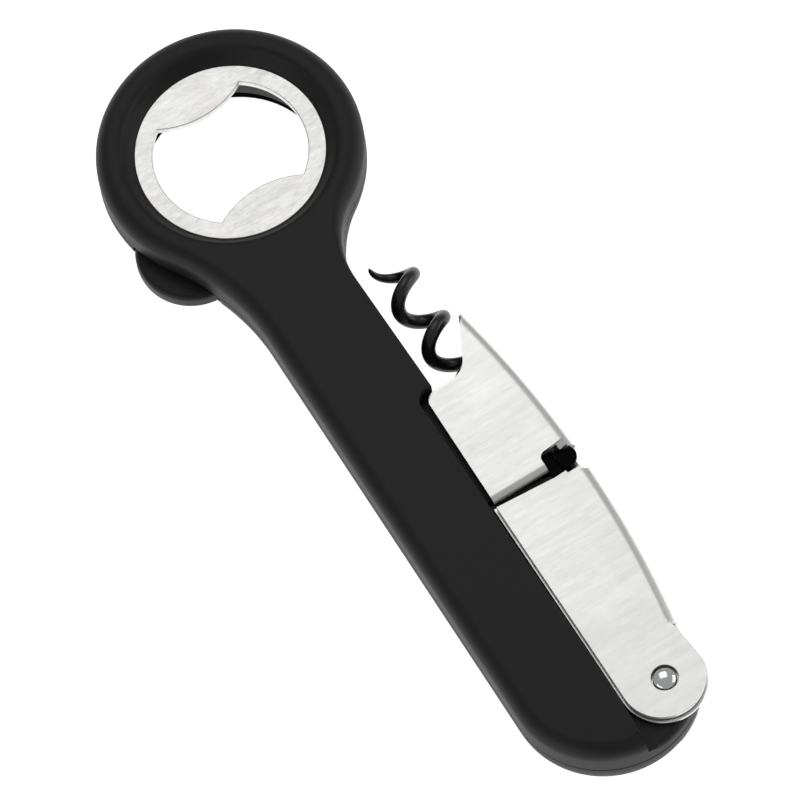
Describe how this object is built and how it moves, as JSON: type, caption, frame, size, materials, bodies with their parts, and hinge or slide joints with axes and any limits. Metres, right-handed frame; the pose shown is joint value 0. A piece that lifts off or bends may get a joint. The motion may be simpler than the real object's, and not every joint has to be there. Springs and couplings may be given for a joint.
{
  "type": "waiters corkscrew",
  "caption": "Waiters corkscrew with a soft-grip handle, ring head with crown cap opener, folding worm, two-step hinged lever and press-in foil cutter.",
  "frame": {"origin": "under the middle of the folded tool, on the flat back it lies on", "axes": "+X from the ring head to the foot, +Y towards the lever side, +Z out of the front face"},
  "size_m": [0.1784, 0.0532, 0.016],
  "materials": {
    "grip": "black soft-touch coat over hard plastic, very fine even texture",
    "arm": "matte black moulded plastic",
    "nylon": "plain black nylon",
    "core": "cast metal with a thin black finish",
    "plate_steel": "fine straight brushing across the handle",
    "lever_steel": "fine straight brushing across the lever",
    "channel_steel": "plain rolled sheet",
    "rivet": "polished",
    "pin_steel": "ground",
    "spring_steel": "drawn wire",
    "wheel_steel": "ground edge",
    "fastener": "dark plated",
    "bush": "turned",
    "worm_coat": "glossy black non-stick coat over spring steel wire"
  },
  "bodies": {
    "handle": {"front_grip": "grip", "back_grip": "grip", "core_frame": "core", "grip_screws": "fastener", "opener_plate": "plate_steel", "pivot_bush": "bush", "lever_rivet": "rivet", "lever_washers": "nylon", "worm_pin": "pin_steel", "foil_pin": "pin_steel", "foil_spring": "spring_steel"},
    "lever_lower": {"lever_channel": "channel_steel", "lever_cover": "lever_steel", "hinge_pin": "pin_steel", "hinge_block": "nylon", "hinge_caps": "nylon"},
    "lever_upper": {"lever_tip": "lever_steel"},
    "worm_body": {"worm": "worm_coat", "worm_hub": "worm_coat"},
    "foil_cutter": {"foil_arm": "arm", "wheel_axles": "pin_steel"},
    "wheel_left": {"cutter_wheel_left": "wheel_steel"},
    "wheel_right": {"cutter_wheel_right": "wheel_steel"}
  },
  "joints": [
    {"name": "lever_swing", "type": "hinge", "parent": "handle", "child": "lever_lower", "pos_m": [0.0786, 0.0108, 0.008], "axis": [0, 0, -1], "range_deg": [0, 150]},
    {"name": "lever_tip_fold", "type": "hinge", "parent": "lever_lower", "child": "lever_upper", "pos_m": [0.0282, 0.0201, 0.008], "axis": [0, 0, -1], "range_deg": [0, 55]},
    {"name": "worm_swing", "type": "hinge", "parent": "handle", "child": "worm_body", "pos_m": [0.0338, 0.0138, 0.008], "axis": [0, 0, -1], "range_deg": [0, 90]},
    {"name": "foil_press", "type": "hinge", "parent": "handle", "child": "foil_cutter", "pos_m": [-0.0714, -0.0194, 0.0066], "axis": [0, 0, 1], "range_deg": [0, 9], "stiffness_Nm_per_rad": 0.1, "springref_deg": -5.73},
    {"name": "wheel_left_spin", "type": "hinge", "parent": "foil_cutter", "child": "wheel_left", "pos_m": [-0.0568, -0.01909, 0.0066], "axis": [0, 0, 1], "continuous": true},
    {"name": "wheel_right_spin", "type": "hinge", "parent": "foil_cutter", "child": "wheel_right", "pos_m": [-0.04689, -0.01214, 0.0066], "axis": [0, 0, 1], "continuous": true}
  ],
  "couplings": [
    {"joint": "worm_swing", "follows": "lever_swing", "ratio": 0.6}
  ]
}
